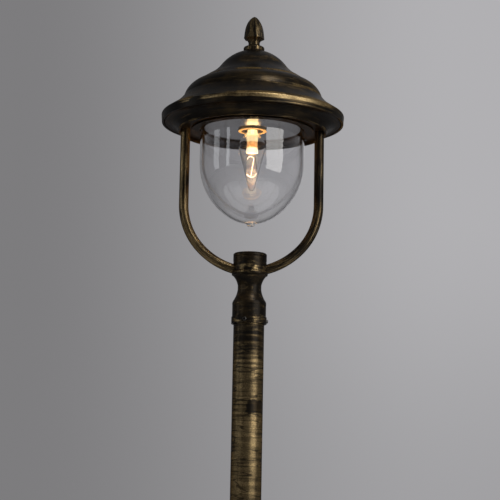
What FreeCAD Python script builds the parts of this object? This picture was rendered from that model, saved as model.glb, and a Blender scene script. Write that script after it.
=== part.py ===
import FreeCAD, Part
import math
import os
import re

import Sketcher

# Garden post lamp: foot, tube pole, collar, hub, two bent arms, carrier ring, stepped roof, finial,
# clear bowl and candle bulb. Millimetres and degrees, Z up, origin at the centre of the foot's underside.

SIZES = (
    # Foot and pole
    ("foot_radius", 95, "foot plate"),
    ("foot_edge", 6, "height of the plate's outer edge"),
    ("foot_edge_round", 2, "round over that edge"),
    ("foot_flare_radius", 34, "radius where the flare starts"),
    ("foot_flare_height", 17, "height of the flare up to the socket"),
    ("foot_flare_bend", 23.8, "hollow bend of the flare"),
    ("foot_socket_radius", 23.5, "outside of the pole socket"),
    ("foot_socket_top", 62, "top of the pole socket"),
    ("foot_floor", 10, "height of the plate's middle, where pole and socket stand"),
    ("foot_bolt_circle", 75, "radius of the circle of bolt holes"),
    ("foot_bolt_radius", 4.5, "bolt hole"),
    ("foot_bolt_count", 4, "bolt holes"),
    ("foot_screw_drop", 12, "set screws below the socket's top"),
    ("pole_radius", 19, "outside of the pole tube"),
    ("pole_wall", 1.5, "pole tube"),
    ("pole_length", 822, "pole tube"),
    ("slip_gap", 0.3, "clearance round a sliding fit"),
    ("thread_gap", 0.3, "clearance round a threaded fit"),
    # Collar over the pole's top
    ("collar_depth", 26, "pole inside the collar"),
    ("collar_height", 45, "whole collar"),
    ("collar_radius", 20.9, "straight part"),
    ("collar_lip_radius", 21.8, "lip at the lower end"),
    ("collar_lip_height", 8.5, "lip at the lower end"),
    ("collar_step", 0.7, "slope from the lip to the straight part"),
    ("collar_flare_height", 16, "flare from the neck to the straight part"),
    ("collar_neck_height", 2.4, "straight neck at the top"),
    ("collar_flare_bend", 34, "hollow bend of the flare"),
    ("collar_shoulder_drop", 3.6, "round shoulder under the flare"),
    ("collar_shoulder_rise", 1.9, "round shoulder into the flare"),
    ("collar_shoulder_in", 0.9, "round shoulder into the flare"),
    ("collar_shoulder_bend", 8, "round shoulder"),
    ("neck_radius", 14.6, "neck where collar and hub meet"),
    ("collar_screw_height", 4.3, "set screws above the collar's lower end"),
    ("set_screw_radius", 2.4, "set screws"),
    ("set_screw_proud", 2.4, "set screw standing out of its casting"),
    ("set_screw_chamfer", 0.6, "ends of the set screws"),
    ("set_screw_key", 2.4, "hex socket of the set screws, across the flats"),
    ("set_screw_key_depth", 2, "hex socket of the set screws"),
    ("set_screw_count", 3, "set screws round a casting"),
    ("set_screw_turn", 16, "first set screw round from the right"),
    ("nipple_radius", 6.5, "threaded nipple"),
    ("nipple_bore", 4.5, "cable way through the nipple"),
    ("nipple_reach", 13, "nipple into the hub and into the collar"),
    # Hub
    ("hub_taper", 15.5, "taper from the neck to the ring"),
    ("hub_taper_bend", 24, "hollow bend of the taper"),
    ("hub_neck_height", 2.6, "straight neck at the bottom"),
    ("hub_ring_height", 5, "ring under the arms"),
    ("hub_ring_radius", 22, "ring under the arms"),
    ("hub_band_height", 12.5, "band that takes the arms"),
    ("hub_radius", 20.4, "edges of the band"),
    ("hub_band_bend", 40, "swelling of the band"),
    ("hub_cavity", 13.8, "cable space"),
    ("hub_floor", 11, "cable space above the hub's bottom"),
    ("hub_cap_height", 10, "cap on the hub"),
    ("hub_cap_radius", 20.8, "cap on the hub"),
    ("hub_cap_plug", 2.5, "depth of the cap's plug"),
    ("hub_cap_edge", 1.2, "bevel of the cap's top edge"),
    ("hub_cap_line_height", 5.2, "fine line round the cap"),
    ("hub_cap_line", 0.8, "width and depth of that line"),
    # Arms
    ("arm_radius", 6, "arm tube"),
    ("arm_thread_radius", 5, "turned ends of the arm"),
    ("arm_bore", 3.4, "cable way in the arm"),
    ("arm_clearance", 18.6, "arm's centre line from the bowl's side"),
    ("arm_straight", 95.94, "straight part up to the carrier ring"),
    ("arm_bend_upper", 81.1, "upper bend"),
    ("arm_turn", 41.75, "angle of the upper bend"),
    ("arm_slope", 16.2, "slope of the arm's lower end"),
    ("arm_entry_height", 23.7, "arm's end above the hub's bottom"),
    ("arm_entry_gap", 0.65, "arm's end outside the hub's band"),
    ("arm_seat", 3.5, "arm's shoulder inside the hub"),
    ("arm_tail", 12.5, "threaded lower end"),
    ("arm_head", 11, "threaded upper end"),
    ("arm_nut_flats", 14, "nuts on the arms, across the flats"),
    ("arm_nut_height", 5, "nuts on the arms"),
    # Carrier ring
    ("carrier_plate", 3, "flat plate"),
    ("carrier_lip_out", 8.8, "outside of the lower lip from the arm's centre line"),
    ("carrier_lip_wall", 1.9, "lower lip"),
    ("carrier_lip_drop", 3.7, "lower lip under the plate"),
    ("carrier_edge_gap", 4.5, "outer edge inside the roof's rim"),
    ("carrier_edge_low", 7.7, "outer edge's lower side above the plate's underside"),
    ("carrier_edge_top", 12.5, "seat of the roof above the plate's underside"),
    ("carrier_ledge", 3, "width of that seat"),
    ("carrier_cove_share", 0.766, "hollow bend of the underside, as a share of its chord"),
    ("carrier_wall", 2.6, "hollow wall"),
    ("bowl_recess_gap", 0.5, "recess round the bowl's flange"),
    ("bowl_recess_depth", 5.5, "recess for the bowl's flange"),
    ("carrier_mouth_step", 3.1, "opening over the bowl inside the bowl's side"),
    ("carrier_shoulder", 3, "shoulder round that opening"),
    ("carrier_collar_wall", 2.7, "wall round the recess"),
    ("post_out", 10.2, "strap posts from the recess"),
    ("post_radius", 5, "strap posts"),
    ("post_height", 10.5, "strap posts above the plate's underside"),
    ("bowl_screw_out", 4.2, "bowl screws from the bowl's flange"),
    ("bowl_screw_turn", 25, "first bowl screw round from the right"),
    ("bowl_screw_count", 3, "bowl screws"),
    ("bowl_boss_radius", 3.4, "bosses for the bowl screws"),
    # Small screws
    ("screw_radius", 1.5, "shank of the small screws"),
    ("screw_head_radius", 2.8, "head of the small screws"),
    ("screw_head_height", 1.8, "head of the small screws"),
    ("screw_grip", 6.5, "small screws into their threads"),
    ("slot_width", 0.9, "slot of the small screws"),
    ("slot_depth", 0.9, "slot of the small screws"),
    # Roof
    ("canopy_wall", 2.6, "roof casting"),
    ("canopy_rim_radius", 115, "rim"),
    ("canopy_rim_draft", 0.8, "rim's lower edge further in"),
    ("canopy_rim_height", 10, "rim"),
    ("canopy_rim_drop", 7.5, "rim's lower edge above the plate's underside"),
    ("canopy_rim_round", 2.2, "rim's upper edge"),
    ("canopy_ledge_width", 3.6, "seat of the roof on the carrier ring"),
    ("brim_inset", 9, "where the brim starts, in from the rim"),
    ("brim_rise", 6, "brim above the rim"),
    ("dome_foot_inset", 27.5, "foot of the large dome, in from the rim"),
    ("dome_foot_rise", 17, "foot of the large dome above the brim"),
    ("dome_cove", 60, "hollow bend under the large dome"),
    ("dome_shoulder_inset", 44, "shoulder of the large dome, in from the rim"),
    ("dome_shoulder_rise", 19, "shoulder above the large dome's foot"),
    ("dome_bend", 28, "swelling of the large dome"),
    ("valley_inset", 55, "foot of the small dome's sweep, in from the rim"),
    ("valley_rise", 7.3, "that foot above the shoulder"),
    ("crown_cove", 56, "hollow sweep under the small dome"),
    ("crown_inset", 73, "edge of the small dome, in from the rim"),
    ("crown_rise", 15.4, "edge of the small dome above its sweep's foot"),
    ("crown_bend", 52, "swelling of the small dome"),
    ("seat_radius", 15, "flat seat of the finial"),
    ("seat_rise", 19.1, "seat above the small dome's edge"),
    # Finial and the threaded tube under it
    ("washer_wall", 1.5, "washer under the finial"),
    ("washer_radius", 11.8, "washer under the finial"),
    ("finial_height", 45.7, "whole finial"),
    ("finial_flange_radius", 13.3, "lower flange"),
    ("finial_flange_edge", 3.6, "straight edge of the flange"),
    ("finial_flange_round", 2.2, "round over that edge"),
    ("finial_neck_radius", 7.2, "neck"),
    ("finial_neck_low", 8.2, "neck's lower end"),
    ("finial_neck_high", 11.2, "neck's upper end"),
    ("finial_bud_low", 16.6, "lower edge of the bud"),
    ("finial_bud_radius", 13.2, "widest part of the bud"),
    ("finial_cup_radius", 11.6, "cup under the bud"),
    ("finial_facets", 8, "facets of the bud"),
    ("finial_turn", 9.6, "first edge of the bud round from the right"),
    ("finial_tip_radius", 1.4, "blunt tip"),
    ("tube_radius", 5, "threaded tube"),
    ("tube_bore", 3.5, "threaded tube"),
    ("tube_engagement", 8.5, "threaded tube in the finial"),
    ("tube_grip", 9, "threaded tube in the lampholder"),
    ("tube_nut_flats", 14, "nuts on the threaded tube, across the flats"),
    ("tube_nut_height", 4, "nuts on the threaded tube"),
    # Strap and terminal block
    ("strap_wall", 2, "strap"),
    ("strap_width", 18, "strap"),
    ("strap_top_in", 36, "end of the strap's raised part inside its post"),
    ("strap_leg_in", 10, "lower end of the strap's leg inside its post"),
    ("strap_foot_end", 8, "end of the strap's foot outside its post"),
    ("block_offset", 27, "terminal block from the axis"),
    ("block_length", 20, "terminal block across the strap"),
    ("block_depth", 16, "terminal block along the strap"),
    ("block_height", 12, "terminal block"),
    ("block_pitch", 9, "between its two poles"),
    ("block_wire_radius", 1.8, "wire holes"),
    ("block_key_radius", 1.6, "clamp screw holes"),
    ("block_key_depth", 7, "clamp screw holes"),
    # Reflector
    ("reflector_wall", 0.8, "spun sheet"),
    ("reflector_gap", 2.2, "pan inside the carrier's opening"),
    ("reflector_overlap", 4.5, "flange on the carrier's shoulder"),
    ("reflector_lift", 0.5, "pan's underside above the plate's underside"),
    # Lampholder
    ("shade_ring_radius", 18, "shade ring"),
    ("shade_ring_height", 2.2, "shade ring"),
    ("shade_ring_round", 0.8, "edge of the shade ring"),
    ("skirt_thread_radius", 13.4, "threaded end of the skirt"),
    ("skirt_reach", 1.9, "threaded end under the reflector's upper face"),
    ("skirt_radius", 15.5, "skirt and cap"),
    ("skirt_bore", 9.7, "inside of the skirt"),
    ("skirt_height", 21.2, "skirt above the reflector"),
    ("holder_cap_height", 21, "cap"),
    ("holder_cap_wall", 1.7, "cap"),
    ("holder_cap_side", 11, "straight side of the cap"),
    ("holder_neck_radius", 7.8, "neck of the cap"),
    ("holder_neck_height", 5, "neck of the cap"),
    ("insert_height", 9, "ceramic insert"),
    ("insert_sleeve_wall", 1.1, "sleeve of the insert"),
    ("insert_sleeve_length", 16, "sleeve of the insert"),
    ("shell_bore", 7.35, "screw shell"),
    ("shell_wall", 0.4, "screw shell"),
    ("contact_wall", 0.5, "centre contact strip"),
    ("contact_width", 4, "centre contact strip"),
    ("contact_half", 4.6, "half of the strip's length"),
    ("contact_spring", 1.2, "strip's drop at its middle"),
    # Bulb
    ("bulb_length", 98.6, "whole bulb"),
    ("bulb_radius", 17, "widest part of the glass"),
    ("bulb_wide_height", 57, "widest part above the tip"),
    ("bulb_round", 16, "bend round the widest part"),
    ("bulb_taper", 14.4, "angle of the cone under it"),
    ("bulb_shoulder", 50, "angle where that bend ends over the widest part"),
    ("bulb_tip_radius", 3.4, "start of the rounded tip"),
    ("bulb_tip_height", 1.9, "rounded tip"),
    ("bulb_neck_radius", 6.2, "neck of the glass"),
    ("bulb_neck_height", 77, "neck above the tip"),
    ("bulb_neck_bend", 16.1, "hollow sweep to the neck"),
    ("bulb_glass_height", 84, "glass up to its open end"),
    ("bulb_wall", 0.7, "glass"),
    ("cap_radius", 6.9, "brass cap"),
    ("cap_wall", 0.35, "brass cap"),
    ("cap_skirt_radius", 7.6, "flared lower edge of the cap"),
    ("cap_skirt_height", 4.5, "flared lower edge of the cap"),
    ("cap_low", 77.4, "cap's lower edge above the tip"),
    ("cap_height", 17.8, "brass cap"),
    ("insulator_height", 2.4, "black glass end"),
    ("insulator_radius", 3.6, "its upper face"),
    ("pip_radius", 2.3, "solder pip"),
    ("stem_flare_radius", 5.2, "flare of the glass stem"),
    ("stem_radius", 2.3, "glass stem"),
    ("stem_top", 83, "stem's flare above the tip"),
    ("stem_flare_height", 6, "stem's flare"),
    ("stem_flare_bend", 9.6, "hollow bend of that flare"),
    ("stem_low", 55, "stem's lower end above the tip"),
    ("filament_radius", 0.45, "coiled filament"),
    ("lead_radius", 0.3, "lead wires"),
    ("left_lead_gap", 0.8, "left lead wire past the filament's upper arc"),
    ("right_lead_gap", 0.3, "right lead wire from the filament's end"),
    ("filament_high", 40.5, "filament's upper arc above the tip"),
    ("filament_low", 19, "filament's lower end above the tip"),
    ("filament_arc", 4, "upper arc"),
    ("filament_run", 2.2, "start of the slanting run, right of the axis"),
    ("filament_foot", 0.7, "foot of that run, left of the axis"),
    ("filament_turn", 1.6, "small bend at the foot"),
    ("filament_end_out", 5.9, "right end of the filament"),
    ("filament_end_rise", 4.2, "right end above the foot"),
    ("filament_hook", 8, "lower arc"),
    # Bowl
    ("bowl_radius", 65.6, "outside of the bowl"),
    ("bowl_wall", 2.2, "glass"),
    ("bowl_straight", 43.5, "straight side under the plate"),
    ("bowl_bend", 80, "bend of the side"),
    ("bowl_turn", 60, "angle of that bend"),
    ("bowl_flange_width", 4, "flange"),
    ("bowl_flange_height", 3.5, "flange"),
    ("nub_radius", 6, "nub at the bottom"),
    ("nub_end_radius", 4.2, "end of the nub"),
    ("nub_height", 3, "nub under the bowl"),
    ("gasket_step", 0.8, "bowl gasket inside the bowl's side"),
    ("bowl_ring_gap", 0.9, "bowl ring round the bowl's side"),
    ("bowl_ring_edge", 3.2, "bowl ring outside its screws"),
    ("bowl_ring_height", 2.2, "bowl ring"),
)

# Radii that follow from the sizes above, then heights from the ground up.
LEVELS = (
    ("bowl_flange_radius", "bowl_radius + bowl_flange_width"),
    ("bowl_recess", "bowl_flange_radius + bowl_recess_gap"),
    ("bowl_screw_circle", "bowl_flange_radius + bowl_screw_out"),
    ("bowl_ring_bore", "bowl_radius + bowl_ring_gap"),
    ("bowl_ring_radius", "bowl_screw_circle + bowl_ring_edge"),
    ("gasket_bore", "bowl_radius - gasket_step"),
    ("carrier_mouth", "bowl_radius - carrier_mouth_step"),
    ("reflector_radius", "carrier_mouth - reflector_gap"),
    ("reflector_flange", "carrier_mouth + reflector_overlap"),
    ("post_circle", "bowl_recess + post_out"),
    ("strap_leg_out", "post_circle - strap_leg_in"),
    ("strap_top_half", "post_circle - strap_top_in"),
    ("strap_foot_out", "post_circle + strap_foot_end"),
    ("arm_spread", "bowl_radius + arm_clearance"),
    ("carrier_lip_radius", "arm_spread + carrier_lip_out"),
    ("carrier_edge_radius", "canopy_rim_radius - carrier_edge_gap"),
    ("carrier_cove", "carrier_cove_share * sqrt((carrier_edge_radius - carrier_lip_radius) ^ 2"
                     " + (carrier_edge_low + carrier_lip_drop) ^ 2)"),
    ("brim_radius", "canopy_rim_radius - brim_inset"),
    ("dome_foot_radius", "canopy_rim_radius - dome_foot_inset"),
    ("dome_shoulder_radius", "canopy_rim_radius - dome_shoulder_inset"),
    ("valley_radius", "canopy_rim_radius - valley_inset"),
    ("crown_radius", "canopy_rim_radius - crown_inset"),
    ("pole_top", "foot_floor + pole_length"),
    ("collar_bottom", "pole_top - collar_depth"),
    ("collar_top", "collar_bottom + collar_height"),
    ("hub_ring_low", "collar_top + hub_taper"),
    ("hub_ring_high", "hub_ring_low + hub_ring_height"),
    ("hub_top", "hub_ring_high + hub_band_height"),
    ("arm_entry_level", "collar_top + arm_entry_height"),
    ("arm_entry_out", "hub_radius + arm_entry_gap"),
    ("arm_mid_out", "arm_spread - arm_bend_upper * (1 - cos(arm_turn))"),
    ("arm_bend_lower", "(arm_mid_out - arm_entry_out) / (cos(arm_turn) - sin(arm_slope))"),
    ("arm_mid_level", "arm_entry_level + arm_bend_lower * (cos(arm_slope) - sin(arm_turn))"),
    ("arm_bend_level", "arm_mid_level + arm_bend_upper * sin(arm_turn)"),
    ("carrier_level", "arm_bend_level + arm_straight"),
    ("carrier_top", "carrier_level + carrier_plate"),
    ("roof_seat_level", "carrier_level + carrier_edge_top"),
    ("mouth_level", "carrier_level + bowl_recess_depth + carrier_shoulder"),
    ("rim_low", "carrier_level + canopy_rim_drop"),
    ("rim_high", "rim_low + canopy_rim_height"),
    ("brim_level", "rim_high + brim_rise"),
    ("dome_foot_level", "brim_level + dome_foot_rise"),
    ("shoulder_level", "dome_foot_level + dome_shoulder_rise"),
    ("valley_level", "shoulder_level + valley_rise"),
    ("crown_level", "valley_level + crown_rise"),
    ("seat_level", "crown_level + seat_rise"),
    ("finial_base", "seat_level + washer_wall"),
    ("reflector_low", "carrier_level + reflector_lift"),
    ("reflector_high", "reflector_low + reflector_wall"),
    ("holder_split", "reflector_high + skirt_height"),
    ("holder_top", "holder_split + holder_cap_height"),
    ("strap_low", "holder_top + tube_nut_height"),
    ("strap_high", "strap_low + strap_wall"),
    ("strap_foot_low", "carrier_level + post_height"),
    ("strap_foot_high", "strap_foot_low + strap_wall"),
    ("bulb_end", "holder_split - contact_wall - contact_spring - thread_gap"),
    ("bulb_tip", "bulb_end - bulb_length"),
    ("bowl_turn_level", "carrier_level - bowl_straight - bowl_bend * sin(bowl_turn)"),
    ("bowl_turn_radius", "bowl_radius - bowl_bend * (1 - cos(bowl_turn))"),
    ("bowl_end_bend", "bowl_turn_radius / cos(bowl_turn)"),
    ("bowl_low", "bowl_turn_level + bowl_turn_radius * tan(bowl_turn) - bowl_end_bend"),
)

NAMES = {entry[0] for entry in SIZES + LEVELS}
ON_AXIS = 1e-9
ROUND = 360

doc = FreeCAD.newDocument("garden_lamp")
dims = doc.addObject("Spreadsheet::Sheet", "dims")


def fill_sheet():
    """One row for each driving size, then one for each height that follows from them."""
    rows = [(name, str(size), note) for name, size, note in SIZES]
    rows += [(name, "=" + formula, "follows") for name, formula in LEVELS]
    for row, (name, content, note) in enumerate(rows, start=1):
        dims.set(f"A{row}", name)
        dims.set(f"B{row}", content)
        dims.setAlias(f"B{row}", name)
        dims.set(f"C{row}", note)
    doc.recompute()


def bound(text):
    """A size formula with each of the sheet's names written as the document knows it."""
    return re.sub(r"[A-Za-z_]\w*", lambda m: "dims." + m[0] if m[0] in NAMES else m[0], text)


def value(text):
    return float(dims.evalExpression(bound(text)))


def bind(thing, **formulas):
    for prop, text in formulas.items():
        thing.setExpression(prop, bound(text))


def new_body(label):
    body = doc.addObject("PartDesign::Body", label)
    body.Label = label
    return body


def origin_of(body, role):
    return next(item for item in body.Origin.OriginFeatures if item.Role == role)


def new_sketch(body, name, plane, shift=("0", "0", "0"), tilt=None):
    """A sketch on one of the body's own planes, shifted along the sketch's axes and tilted about its -X."""
    sketch = body.newObject("Sketcher::SketchObject", name)
    sketch.AttachmentSupport = (origin_of(body, plane), [""])
    sketch.MapMode = "FlatFace"
    turn = FreeCAD.Rotation(FreeCAD.Vector(-1, 0, 0), value(tilt) if tilt else 0)
    sketch.AttachmentOffset = FreeCAD.Placement(FreeCAD.Vector(*map(value, shift)), turn)
    for axis, text in zip("xyz", shift):
        if text != "0":
            sketch.setExpression(f"AttachmentOffset.Base.{axis}", bound(text))
    if tilt:
        sketch.setExpression("AttachmentOffset.Rotation.Angle", bound(tilt))
    return sketch


def name_and_bind(sketch, index, name, text):
    sketch.renameConstraint(index, name)
    sketch.setExpression(f"Constraints.{name}", bound(text))


def pin_point(sketch, side, end, tag, across, up):
    """Hold one end of a side at its two distances from the sketch's origin."""
    for kind, axis, text in (("DistanceX", -2, across), ("DistanceY", -1, up)):
        size = value(text)
        if abs(size) < ON_AXIS:
            sketch.addConstraint(Sketcher.Constraint("PointOnObject", side, end, axis))
            continue
        index = sketch.addConstraint(Sketcher.Constraint(kind, -1, 1, side, end, size))
        name_and_bind(sketch, index, f"{kind}_{tag}", text)


def bent_side(start, end, radius, turn):
    """Arc from start to end that bends left or right, with the numbers of its start and end points."""
    chord = end - start
    left = FreeCAD.Vector(-chord.y, chord.x, 0).normalize()
    offset = math.sqrt(max(radius ** 2 - (chord.Length / 2) ** 2, 0))
    centre = (start + end) * 0.5 + left * (offset if turn == "left" else -offset)
    first, last = (start, end) if turn == "left" else (end, start)
    angles = [math.atan2(point.y - centre.y, point.x - centre.x) for point in (first, last)]
    circle = Part.Circle(centre, FreeCAD.Vector(0, 0, 1), radius)
    return Part.ArcOfCircle(circle, *angles), (1, 2) if turn == "left" else (2, 1)


def draw_chain(sketch, corners, closed):
    """Sides through corners (across, up); (across, up, radius, turn) bends the side that ends there."""
    points = [FreeCAD.Vector(value(corner[0]), value(corner[1]), 0) for corner in corners]
    first_side = sketch.GeometryCount
    ends = []
    for number in range(0 if closed else 1, len(corners)):
        start, end = points[number - 1], points[number]
        if len(corners[number]) == 2:
            geometry, order = Part.LineSegment(start, end), (1, 2)
        else:
            radius, turn = corners[number][2:]
            geometry, order = bent_side(start, end, value(radius), turn)
        side = sketch.addGeometry(geometry, False)
        ends.append((side, order))
        if len(corners[number]) > 2:
            index = sketch.addConstraint(Sketcher.Constraint("Radius", side, value(radius)))
            name_and_bind(sketch, index, f"bend_{side}", radius)
    pairs = list(zip(ends, ends[1:] + ends[:1])) if closed else list(zip(ends, ends[1:]))
    for (side, order), (following, next_order) in pairs:
        sketch.addConstraint(Sketcher.Constraint("Coincident", side, order[1], following, next_order[0]))
    if not closed:
        pin_point(sketch, first_side, ends[0][1][0], f"{first_side}_start", *corners[0][:2])
    for (side, order), corner in zip(ends, corners if closed else corners[1:]):
        pin_point(sketch, side, order[1], f"{side}_end", *corner[:2])


def draw_circle(sketch, radius, across="0", up="0"):
    centre = FreeCAD.Vector(value(across), value(up), 0)
    circle = Part.Circle(centre, FreeCAD.Vector(0, 0, 1), value(radius))
    side = sketch.addGeometry(circle, False)
    index = sketch.addConstraint(Sketcher.Constraint("Radius", side, value(radius)))
    name_and_bind(sketch, index, f"radius_{side}", radius)
    pin_point(sketch, side, 3, f"{side}_centre", across, up)


def regular(radius, count, turn="0"):
    """Corners of a regular outline with the given corner radius."""
    return [(f"({radius}) * cos({turn} + {ROUND} / {count} * {step})",
             f"({radius}) * sin({turn} + {ROUND} / {count} * {step})") for step in range(count)]


def add_feature(body, kind, name, **settings):
    feature = body.newObject(f"PartDesign::{kind}", name)
    for prop, setting in settings.items():
        setattr(feature, prop, setting)
    body.Tip = feature
    return feature


def revolve(body, name, corners, shift=("0", "0", "0"), axis="V_Axis", kind="Revolution"):
    """Turn an outline of (radius, height) corners about the sketch's upright or level axis."""
    sketch = new_sketch(body, name + "_outline", "XZ_Plane", shift)
    draw_chain(sketch, corners, closed=True)
    return add_feature(body, kind, name, Profile=sketch, ReferenceAxis=(sketch, [axis]), Angle=ROUND)


def pad(body, name, sketch, length, kind="Pad", **settings):
    feature = add_feature(body, kind, name, Profile=sketch, **settings)
    bind(feature, Length=length)
    return feature


def ring_of(body, name, count, *features):
    """Repeat features round the lamp's axis."""
    pattern = add_feature(body, "PolarPattern", name, Originals=list(features), Angle=ROUND,
                          Axis=(origin_of(body, "Z_Axis"), [""]))
    bind(pattern, Occurrences=count)


def round_edge(body, name, radius, edge_radius):
    """Round the circular edge that has the given radius."""
    doc.recompute()
    base = body.Tip
    found = [number for number, edge in enumerate(base.Shape.Edges, start=1)
             if isinstance(edge.Curve, Part.Circle)
             and math.isclose(edge.Curve.Radius, value(edge_radius), rel_tol=1e-6)]
    feature = add_feature(body, "Fillet", name, Base=(base, [f"Edge{number}" for number in found]))
    bind(feature, Radius=radius)


def even_wall(corners, wall):
    """Outline of an even wall: outer corners (across, up, bend, turn, surface lean), then the inner ones."""
    outer = [corner[:4] if corner[2] else corner[:2] for corner in corners]
    inner = []
    for number in reversed(range(len(corners))):
        across, up, lean = corners[number][0], corners[number][1], corners[number][4]
        point = (f"{across} - {wall} * cos({lean})", f"{up} - {wall} * sin({lean})")
        following = corners[number + 1] if number + 1 < len(corners) else (None,) * 5
        if following[2] and following[3] == "left":
            point += (f"{following[2]} - {wall}", "right")
        elif following[2]:
            point += (f"{following[2]} + {wall}", "left")
        inner.append(point)
    return outer + inner


def turned(label, corners):
    body = new_body(label)
    revolve(body, label + "_turned", corners)
    return body


def flat_ring(label, bore, radius, low, high):
    return turned(label, [(bore, low), (radius, low), (radius, high), (bore, high)])


def upright_screws(label, circle, turn, count, head_low, head_high, tip):
    """Small slotted screws round the axis: head between two heights, shank from it to the tip."""
    head_up = value(tip) < value(head_low)
    slot_low = f"{head_high} - slot_depth" if head_up else head_low
    root = head_low if head_up else head_high
    body = new_body(label)
    place = (f"({circle}) * cos({turn})", f"({circle}) * sin({turn})")
    parts = (("head", "screw_head_radius", head_low, f"({head_high}) - ({head_low})"),
             ("shank", "screw_radius", tip if head_up else root, f"abs(({tip}) - ({root}))"))
    made = []
    for name, radius, low, length in parts:
        sketch = new_sketch(body, f"{label}_{name}_outline", "XY_Plane", ("0", "0", low))
        draw_circle(sketch, radius, *place)
        made.append(pad(body, f"{label}_{name}", sketch, length))
    half, side = "(screw_head_radius + slip_gap)", "slot_width / 2"
    slot = new_sketch(body, label + "_slot_outline", "XY_Plane", ("0", "0", slot_low))
    corners = [(f"{place[0]} {a} {half}", f"{place[1]} {b} {side}") for a, b in ("--", "+-", "++", "-+")]
    draw_chain(slot, corners, closed=True)
    made.append(pad(body, label + "_slot", slot, "slot_depth", kind="Pocket", Reversed=True))
    if count != "1":
        ring_of(body, label + "_ring", count, *made)
    return body


def radial_holes(body, name, radius, height, inner, outer, count):
    """Round holes through a wall, along lines out of the lamp's axis."""
    sketch = new_sketch(body, name + "_outline", "XZ_Plane", ("0", height, "0"))
    draw_chain(sketch, [(inner, "0"), (outer, "0"), (outer, radius), (inner, radius)], closed=True)
    hole = add_feature(body, "Groove", name, Profile=sketch, ReferenceAxis=(sketch, ["H_Axis"]), Angle=ROUND)
    ring_of(body, name + "_ring", count, hole)
    return hole


# Foot, pole and collar

def make_foot():
    """Cast round plate with the bolt holes and a cable inlet as wide as the pole's bore."""
    inlet = "pole_radius - pole_wall"
    body = turned("foot", [
        (inlet, "0"), ("foot_radius", "0"), ("foot_radius", "foot_edge - foot_edge_round"),
        ("foot_radius - foot_edge_round", "foot_edge", "foot_edge_round", "left"),
        ("foot_flare_radius", "foot_floor"), (inlet, "foot_floor")])
    sketch = new_sketch(body, "foot_bolt_outline", "XY_Plane")
    draw_circle(sketch, "foot_bolt_radius", "foot_bolt_circle * cos(45)", "foot_bolt_circle * sin(45)")
    hole = pad(body, "foot_bolt_hole", sketch, "foot_floor", kind="Pocket", Reversed=True)
    ring_of(body, "foot_bolt_holes", "foot_bolt_count", hole)
    return body


def make_foot_socket():
    """Flared sleeve on the plate that holds the pole with set screws."""
    bore = "pole_radius + slip_gap"
    body = turned("foot_socket", [
        (bore, "foot_floor"), ("foot_flare_radius", "foot_floor"),
        ("foot_socket_radius", "foot_floor + foot_flare_height", "foot_flare_bend", "right"),
        ("foot_socket_radius", "foot_socket_top"), (bore, "foot_socket_top")])
    radial_holes(body, "foot_screw_holes", "set_screw_radius + thread_gap",
                 "foot_socket_top - foot_screw_drop", "pole_radius", "foot_socket_radius + slip_gap",
                 "set_screw_count")
    return body


def make_pole():
    return flat_ring("pole", "pole_radius - pole_wall", "pole_radius", "foot_floor", "pole_top")


def make_collar():
    bore = "pole_radius + slip_gap"
    hole = "nipple_radius + thread_gap"
    flare = "collar_top - collar_neck_height - collar_flare_height"
    body = turned("collar", [
        (bore, "collar_bottom"), ("collar_lip_radius", "collar_bottom"),
        ("collar_lip_radius", "collar_bottom + collar_lip_height"),
        ("collar_radius", "collar_bottom + collar_lip_height + collar_step"),
        ("collar_radius", f"{flare} - collar_shoulder_drop"),
        ("collar_radius - collar_shoulder_in", f"{flare} + collar_shoulder_rise",
         "collar_shoulder_bend", "left"),
        ("neck_radius", "collar_top - collar_neck_height", "collar_flare_bend", "right"),
        ("neck_radius", "collar_top"), (hole, "collar_top"), (hole, "pole_top"), (bore, "pole_top")])
    radial_holes(body, "collar_screw_holes", "set_screw_radius + thread_gap",
                 "collar_bottom + collar_screw_height", "pole_radius", "collar_lip_radius + slip_gap",
                 "set_screw_count")
    return body


def make_set_screws(label, height, outer):
    """Chamfered set screws from the pole's wall out through a casting."""
    body = new_body(label)
    tip, end = "pole_radius + thread_gap", f"{outer} + set_screw_proud"
    slim = "set_screw_radius - set_screw_chamfer"
    screw = revolve(body, label + "_turned", [
        (tip, "0"), (end, "0"), (end, slim), (f"{end} - set_screw_chamfer", "set_screw_radius"),
        (f"{tip} + set_screw_chamfer", "set_screw_radius"), (tip, slim)], ("0", height, "0"), "H_Axis")
    key = new_sketch(body, label + "_key_outline", "YZ_Plane", ("0", height, f"{end} - set_screw_key_depth"))
    draw_chain(key, regular("set_screw_key / sqrt(3)", 6), closed=True)
    socket = pad(body, label + "_key", key, "set_screw_key_depth", kind="Pocket", Reversed=True)
    ring_of(body, label + "_ring", "set_screw_count", screw, socket)
    return body


# Hub and arms

def make_nipple():
    return flat_ring("neck_nipple", "nipple_bore", "nipple_radius",
                     "collar_top - nipple_reach", "collar_top + nipple_reach")


def arm_plane(body, name, along):
    """Sketch square to an arm's lower end, at a distance along it from where the bend ends."""
    return new_sketch(body, name, "YZ_Plane",
                      ("0", f"arm_entry_level - ({along}) * sin(arm_slope)",
                       f"arm_entry_out - ({along}) * cos(arm_slope)"), "arm_slope")


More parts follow.
